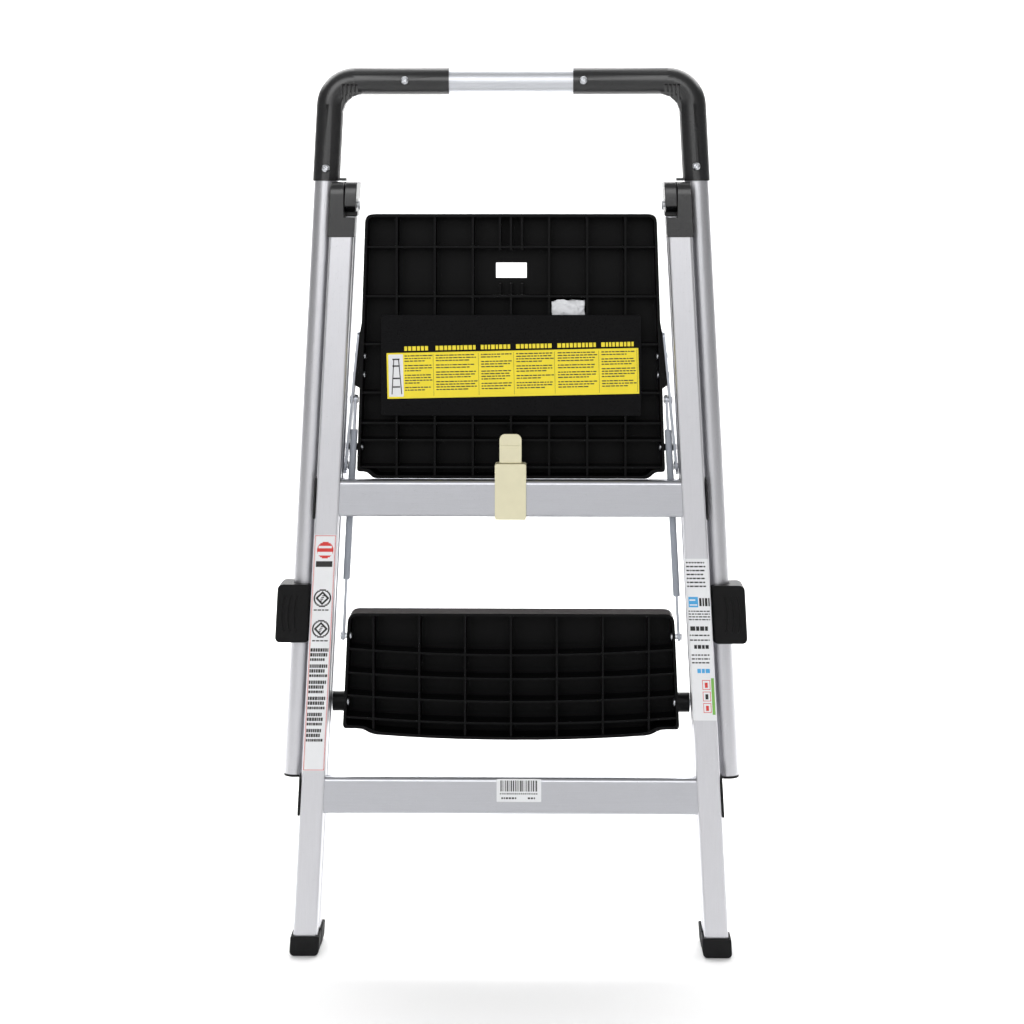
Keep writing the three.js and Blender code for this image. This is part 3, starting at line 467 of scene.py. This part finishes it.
def rectangle(u0, u1, v0, v1, radius=0.0):
    if radius <= 0:
        return [(u0, v0), (u1, v0), (u1, v1), (u0, v1)]
    points = []
    for cu, cv, start in ((u1 - radius, v0 + radius, -90), (u1 - radius, v1 - radius, 0),
                          (u0 + radius, v1 - radius, 90), (u0 + radius, v0 + radius, 180)):
        for step in range(5):
            turn = math.radians(start + 22.5 * step)
            points.append((cu + radius * math.cos(turn), cv + radius * math.sin(turn)))
    return points


def text_row(draw, u0, u1, v, height, index, gap=0.9, shortest=1.6, longest=5.2):
    """A row of short plain bars that reads as small print and spells nothing."""
    u = u0
    while u < u1 - shortest:
        width = min(rng.uniform(shortest, longest), u1 - u)
        draw(rectangle(u, u + width, v - height / 2, v + height / 2), index)
        u += width + gap


# The yellow label on the board sits a little askew.
LABEL_TILT = math.radians(1.25)
LABEL_MIDDLE = (2.0, 604.5)
LABEL_HALF = (132.3, 24.0)


def label_point(u, v):
    c, s = math.cos(LABEL_TILT), math.sin(LABEL_TILT)
    return LABEL_MIDDLE[0] + u * c - v * s, LABEL_MIDDLE[1] + u * s + v * c


def fill_label(bm):
    half_u, half_v = LABEL_HALF
    face = BOARD_FACE_Y

    def sheet(outline, index, level=1):
        prism(bm, outline, label_point, face, face - 0.12 - 0.03 * level, index)
    band = 11.0
    sheet(rectangle(-half_u, half_u, -half_v, half_v + band, 1.0), 2, 0)
    sheet(rectangle(-half_u, half_u, -half_v, half_v, 0.6), 0, 1)
    # a small generic drawing of a stool on a white patch
    sheet(rectangle(-half_u + 1.8, -half_u + 17.2, -half_v + 2.0, half_v - 1.6, 0.6), 3, 2)
    left = -half_u + 4.4
    for foot, top in ((left, left + 2.6), (left + 10.2, left + 7.6)):
        low, high = -half_v + 4.6, half_v - 6.5
        sheet([(foot, low), (foot + 1.0, low), (top + 1.0, high), (top, high)], 1, 3)
    for v in (-half_v + 11.5, -half_v + 20.5, half_v - 14.5, half_v - 7.5):
        sheet(rectangle(left + 1.6, left + 9.2, v, v + 1.5), 1, 3)
    columns = ((-113.5, -84.0), (-80.6, -36.5), (-33.0, 0.6), (4.0, 43.5), (47.5, 90.0), (93.5, 130.0))
    for first, last in columns:
        text_row(sheet_level(sheet, 2), first, last - 1.5, half_v + band / 2 - 1.2, 4.6, 0, 1.1, 2.2, 4.0)
        row = half_v - 3.4
        for count in rng.sample((2, 3, 3, 4), 4):
            for line in range(count):
                reach = last - (rng.uniform(4, 14) if line == count - 1 else rng.uniform(0, 3))
                text_row(sheet_level(sheet, 2), first, reach, row, 1.15, 1, 0.8)
                row -= 2.75
            row -= 1.9
        sheet(rectangle(last + 0.5, last + 0.8, -half_v + 2, half_v - 2), 1, 2)


def sheet_level(sheet, level):
    return lambda outline, index: sheet(outline, index, level)


build("board_label", fill_label, [yellow_print, dark_print, board_plastic, white_print], "platform",
      0, 30)


# ---- stickers that wrap the rear legs ----

FLAT = REAR_LEG_HALF_WIDTH - REAR_LEG_CORNER
ARC = REAR_LEG_CORNER * math.pi / 2


def leg_surface(sign, s, z, lift):
    """A point on a rear leg's outside at height z. s runs round its section from mid rear face."""
    radius = REAR_LEG_CORNER + lift
    along = abs(s)
    if along <= FLAT:
        u, y = along, REAR_FACE_Y - lift
    elif along <= FLAT + ARC:
        turn = (along - FLAT) / REAR_LEG_CORNER
        u = FLAT + radius * math.sin(turn)
        y = REAR_FACE_Y + REAR_LEG_CORNER - radius * math.cos(turn)
    else:
        u = REAR_LEG_HALF_WIDTH + lift
        y = REAR_FACE_Y + REAR_LEG_CORNER + (along - FLAT - ARC)
    u = math.copysign(u, s)
    x = sign * (REAR_LEG_X + SPLAY * (HINGE_Z - z)) + u
    return Vector((x * MM, y * MM, z * MM))


def wrap(bm, sign, s0, s1, z0, z1, lift, index):
    """A sheet of print that follows the leg's section."""
    steps = max(1, math.ceil((s1 - s0) / 1.0))
    rows = []
    for level in (0.02, lift):
        for z in (z0, z1):
            rows.append([bm.verts.new(leg_surface(sign, s0 + (s1 - s0) * i / steps, z, level))
                         for i in range(steps + 1)])
    back_low, back_high, front_low, front_high = rows
    faces = []
    for i in range(steps):
        faces.append(bm.faces.new((front_low[i], front_low[i + 1], front_high[i + 1], front_high[i])))
        faces.append(bm.faces.new((back_low[i], back_high[i], back_high[i + 1], back_low[i + 1])))
        faces.append(bm.faces.new((front_low[i], back_low[i], back_low[i + 1], front_low[i + 1])))
        faces.append(bm.faces.new((front_high[i], front_high[i + 1], back_high[i + 1], back_high[i])))
    faces.append(bm.faces.new((front_low[0], front_high[0], back_high[0], back_low[0])))
    faces.append(bm.faces.new((front_low[-1], back_low[-1], back_high[-1], front_high[-1])))
    for face in faces:
        face.material_index = index


def wrap_round(bm, sign, s, z, radius, lift, index):
    """A printed disc on the leg, drawn as level strips."""
    strips = 14
    for i in range(strips):
        low = -radius + 2 * radius * i / strips
        high = -radius + 2 * radius * (i + 1) / strips
        half = math.sqrt(max(0.0, radius ** 2 - ((low + high) / 2) ** 2))
        wrap(bm, sign, s - half, s + half, z + low, z + high, lift, index)


def wrap_diamond(bm, sign, s, z, reach, lift, index):
    """A printed diamond on the leg, drawn as level strips."""
    strips = 16
    for i in range(strips):
        low = -reach + 2 * reach * i / strips
        high = -reach + 2 * reach * (i + 1) / strips
        half = reach - abs(low + high) / 2
        wrap(bm, sign, s - half, s + half, z + low, z + high, lift, index)


def small_print(bm, sign, s0, s1, z, height, lift, index, shortest=1.4, longest=4.0, gap=0.8):
    s = s0
    while s < s1 - shortest * 0.6:
        width = min(rng.uniform(shortest, longest), s1 - s)
        wrap(bm, sign, s, s + width, z - height / 2, z + height / 2, lift, index)
        s += width + gap


def fill_left_sticker(bm):
    sign = -1
    low, high, reach = 192.0, 438.0, 11.6
    wrap(bm, sign, -reach, reach, low, high, 0.14, 0)
    wrap(bm, sign, -reach + 0.7, reach - 0.7, low + 0.7, high - 0.7, 0.17, 2)
    wrap(bm, sign, -reach + 1.3, reach - 1.3, low + 1.3, high - 1.3, 0.20, 0)
    wrap_round(bm, sign, 0.4, 422.0, 8.6, 0.24, 2)
    wrap(bm, sign, -7.4, 8.0, 416.5, 420.2, 0.28, 0)
    wrap(bm, sign, -6.6, 7.2, 424.0, 426.4, 0.28, 0)
    wrap(bm, sign, -8.6, 8.6, 404.5, 410.5, 0.24, 1)
    for z in (372.0, 340.0):
        wrap_round(bm, sign, 0.0, z, 9.2, 0.24, 1)
        wrap_round(bm, sign, 0.0, z, 7.6, 0.28, 0)
        wrap_diamond(bm, sign, 0.0, z, 7.4, 0.32, 1)
        wrap_diamond(bm, sign, 0.0, z, 4.6, 0.36, 0)
        for turn in range(4):
            shift = -1.6 + turn * 0.9
            wrap(bm, sign, shift - 1.3, shift + 1.6, z - 3.4 + turn * 1.8, z - 2.3 + turn * 1.8, 0.40, 1)
        small_print(bm, sign, -8.4, 8.4, z - 12.4, 1.3, 0.24, 1)
    row = 318.0
    for _ in range(6):
        for height in (3.6, 3.6, 2.8):
            small_print(bm, sign, -9.6, rng.uniform(5.0, 9.6), row, height, 0.24, 1, 1.3, 2.4, 0.5)
            row -= height + 1.4
        row -= 2.6


def fill_right_sticker(bm):
    sign = 1
    low, high, left, right = 246.0, 414.0, -13.6, 11.8
    wrap(bm, sign, left, right, low, high, 0.14, 0)
    row = high - 4.0
    for _ in range(7):
        small_print(bm, sign, left + 2, right - rng.uniform(1, 7), row, 1.5, 0.2, 1, 1.6, 4.6)
        row -= 4.1
    wrap(bm, sign, left + 2.6, left + 12.4, 363.6, 374.4, 0.2, 2)
    wrap(bm, sign, left + 3.6, left + 11.4, 365.4, 366.6, 0.24, 0)
    wrap(bm, sign, left + 3.6, left + 9.6, 370.4, 371.8, 0.24, 0)
    small_print(bm, sign, left + 13.6, right - 1.0, 369.0, 8.4, 0.2, 1, 1.5, 2.6, 0.9)
    for level in (359.5, 356.6, 353.7, 350.8):
        small_print(bm, sign, left + 2, right - 1.5, level, 1.2, 0.2, 1)
    small_print(bm, sign, left + 3, right - 2, 341.5, 4.6, 0.2, 1, 2.8, 5.6)
    for level in (334.5, 329.5):
        small_print(bm, sign, left + 2, right - 3, level, 1.4, 0.2, 1)
    small_print(bm, sign, left + 6, right - 4, 322.5, 4.0, 0.2, 1, 2.4, 5.0)
    for level in (314.0, 310.0, 306.0):
        small_print(bm, sign, left + 3, right - 4, level, 1.4, 0.2, 1)
    small_print(bm, sign, left + 8, right - 3, 297.5, 4.4, 0.2, 2, 2.0, 4.4)
    for number, level in enumerate((283.0, 271.0, 259.0)):
        wrap(bm, sign, left + 12.4, left + 20.6, level - 5, level + 5, 0.2, 3)
        wrap(bm, sign, left + 13.0, left + 20.0, level - 4.4, level + 4.4, 0.24, 0)
        wrap(bm, sign, left + 15.0, left + 18.0, level - 3, level + 2.4, 0.28, 1 if number % 2 else 3)
    wrap(bm, sign, left + 21.6, left + 24.6, 252.0, 290.0, 0.2, 4)


build("rear_leg_sticker_left", fill_left_sticker, [white_print, dark_print, red_print], "rear_frame",
      0, 30)
build("rear_leg_sticker_right", fill_right_sticker,
      [white_print, dark_print, blue_print, red_print, green_print], "rear_frame", 0, 30)


# A white label with plain bars on the lower crossbar.
def fill_bar_label(bm):
    def point(u, v):
        return u, v
    face = CROSSBAR_FACE_Y
    prism(bm, rectangle(-14.5, 32.0, 160.2, 184.0, 0.8), point, face, face - 0.14, 0)
    u = -10.5
    while u < 27.5:
        width = rng.choice((0.45, 0.45, 0.8, 1.2))
        prism(bm, rectangle(u, u + width, 171.0, 182.4), point, face, face - 0.2, 1)
        u += width + rng.choice((0.5, 0.7, 1.0))

    def print_bar(outline, index):
        prism(bm, outline, point, face, face - 0.2, index)
    text_row(print_bar, -11.0, 29.0, 168.6, 1.5, 1, 0.9, 0.9, 1.4)
    text_row(print_bar, -9.5, 8.0, 164.0, 1.8, 1, 0.8, 1.2, 2.6)
    text_row(print_bar, 18.0, 27.0, 164.0, 1.8, 1, 0.8, 1.2, 2.6)


build("lower_crossbar_label", fill_bar_label, [white_print, dark_print], "rear_frame", 0, 30)


# A crumpled paper tag in a pocket of the platform's underside.
def fill_tag(bm):
    columns, rows = 26, 22
    x0, x1, z0, z1 = 43.0, 77.6, 655.0, 682.6
    grid = []
    for j in range(rows + 1):
        line = []
        for i in range(columns + 1):
            u, v = i / columns, j / rows
            wrinkle = noise.noise(Vector((u * 3.1, v * 3.4, 1.7))) * 3.4 + abs(
                noise.noise(Vector((u * 6.5, v * 5.0, 4.2)))) * 3.2
            x = x0 + (x1 - x0) * u + noise.noise(Vector((u * 4, v * 4, 9.1))) * 0.8
            ragged = noise.noise(Vector((u * 5.5, 0.3, 2.0))) * 2.4 * v
            z = z0 + (z1 - z0) * v + ragged - 1.6 * v
            line.append(bm.verts.new((x * MM, (1.6 + wrinkle) * MM, z * MM)))
        grid.append(line)
    for j in range(rows):
        for i in range(columns):
            bm.faces.new((grid[j][i], grid[j][i + 1], grid[j + 1][i + 1], grid[j + 1][i]))


tag = build("paper_tag", fill_tag, [paper], "platform", 0, 60)
thicken = tag.modifiers.new("thickness", "SOLIDIFY")
thicken.thickness = 0.2 * MM


# ---- small moulded details ----

def half_width(z, top, bottom):
    """Half of a tread's width at height z. top and bottom are (height, half width)."""
    return top[1] + (bottom[1] - top[1]) * (top[0] - z) / (top[0] - bottom[0])


PLATFORM_TOP = (772, 153.2)
PLATFORM_BOTTOM = (494, 162.3)
STEP_TOP = (352, 171.5)
STEP_BOTTOM = (231, 176.9)
RIDGE_PITCH = 8.0
RIDGE_HEIGHT = 2.4
RIDGE_Y = (TREAD_Y - 0.4, TREAD_Y + 0.9)


# Low grip ridges across both treads.
def fill_platform_ridges(bm):
    z = 508.0
    while z < 762:
        half = half_width(z, PLATFORM_TOP, PLATFORM_BOTTOM) - 9
        # the ridges beside the latch slot stop short of it
        if 700 < z < 724:
            bar(bm, -half, -22, *RIDGE_Y, z, z + RIDGE_HEIGHT)
            bar(bm, 22, half, *RIDGE_Y, z, z + RIDGE_HEIGHT)
        else:
            bar(bm, -half, half, *RIDGE_Y, z, z + RIDGE_HEIGHT)
        z += RIDGE_PITCH


def fill_step_ridges(bm):
    z = 240.0
    while z < 344:
        half = half_width(z, STEP_TOP, STEP_BOTTOM) - 10
        bar(bm, -half, half, *RIDGE_Y, z, z + RIDGE_HEIGHT)
        z += RIDGE_PITCH


build("platform_tread_ridges", fill_platform_ridges, [step_plastic], "platform", 0.5, 40)
build("lower_step_tread_ridges", fill_step_ridges, [step_plastic], "lower_step", 0.5, 40)


# ---- floor, light and camera ----

def stage_floor():
    mesh = bpy.data.meshes.new("floor")
    bm = bmesh.new()
    flat_end, sweep, steps = 3.0, 1.6, 12
    profile = [(-7.0, 0.0), (flat_end, 0.0)]
    for i in range(1, steps + 1):
        turn = math.radians(90 * i / steps)
        profile.append((flat_end + sweep * math.sin(turn), sweep - sweep * math.cos(turn)))
    profile.append((flat_end + sweep, 6.0))
    left = [bm.verts.new((-8.0, y, z)) for y, z in profile]
    right = [bm.verts.new((8.0, y, z)) for y, z in profile]
    for i in range(len(profile) - 1):
        bm.faces.new((left[i], right[i], right[i + 1], left[i + 1]))
    bm.to_mesh(mesh)
    bm.free()
    mesh.materials.append(surface("studio_paper", srgb(246, 246, 246), 0.9, 0.0, scale=3, mottle=0.004,
                                  rough_spread=0.03, bump=0.01, fine_scale=60, specular=0.1))
    for polygon in mesh.polygons:
        polygon.use_smooth = True
    floor = link("studio_floor", mesh)


def area_light(name, location, target, size, size_y, energy):
    data = bpy.data.lights.new(name, "AREA")
    data.shape = "RECTANGLE"
    data.size = size
    data.size_y = size_y
    data.energy = energy
    light = bpy.data.objects.new(name, data)
    light.location = location
    light.rotation_euler = (Vector(target) - Vector(location)).to_track_quat("-Z", "Y").to_euler()
    bpy.context.scene.collection.objects.link(light)


stage_floor()


def studio_world():
    """Soft even light, darker towards the stool's two sides so that round tubes show their form."""
    world = bpy.data.worlds.new("studio")
    world.use_nodes = True
    tree = world.node_tree
    coords = tree.nodes.new("ShaderNodeTexCoord")
    parts = tree.nodes.new("ShaderNodeSeparateXYZ")
    sideways = tree.nodes.new("ShaderNodeMath")
    sideways.operation = "ABSOLUTE"
    level = tree.nodes.new("ShaderNodeMapRange")
    level.interpolation_type = "SMOOTHSTEP"
    level.inputs["From Min"].default_value = 0.35
    level.inputs["From Max"].default_value = 0.95
    level.inputs["To Min"].default_value = 0.5
    level.inputs["To Max"].default_value = 0.26
    tree.links.new(coords.outputs["Generated"], parts.inputs["Vector"])
    tree.links.new(parts.outputs["X"], sideways.inputs[0])
    tree.links.new(sideways.outputs["Value"], level.inputs["Value"])
    tree.links.new(level.outputs["Result"], tree.nodes["Background"].inputs["Strength"])
    tree.nodes["Background"].inputs["Color"].default_value = (1.0, 1.0, 1.0, 1.0)
    bpy.context.scene.world = world


studio_world()
bpy.context.scene.view_settings.view_transform = "Standard"

area_light("overhead", (0.0, 1.55, 1.75), (0, 1.55, 0.0), 3.4, 2.9, 72)
area_light("front_box", (-0.9, -5.2, 2.5), (0, 0, 0.9), 5.0, 2.6, 128)
area_light("backdrop", (0.0, 2.0, 3.4), (0, 4.6, 0.4), 7.0, 2.0, 230)

camera_data = bpy.data.cameras.new("camera")
camera_data.lens = 84.5
camera_data.sensor_width = 36.0
camera_data.shift_x = 0.0015
camera_data.shift_y = -0.305
camera_data.clip_start = 0.05
camera_data.clip_end = 60
camera = bpy.data.objects.new("camera", camera_data)
CAMERA_DISTANCE = 2.5
CAMERA_HEIGHT = 0.787
CAMERA_AZIMUTH = math.radians(1.0)
camera.location = (math.sin(CAMERA_AZIMUTH) * CAMERA_DISTANCE,
                   REAR_FACE_Y * MM - math.cos(CAMERA_AZIMUTH) * CAMERA_DISTANCE,
                   CAMERA_HEIGHT)
camera.rotation_euler = (math.radians(90), 0, CAMERA_AZIMUTH)
bpy.context.scene.collection.objects.link(camera)
bpy.context.scene.camera = camera

bpy.context.view_layer.update()
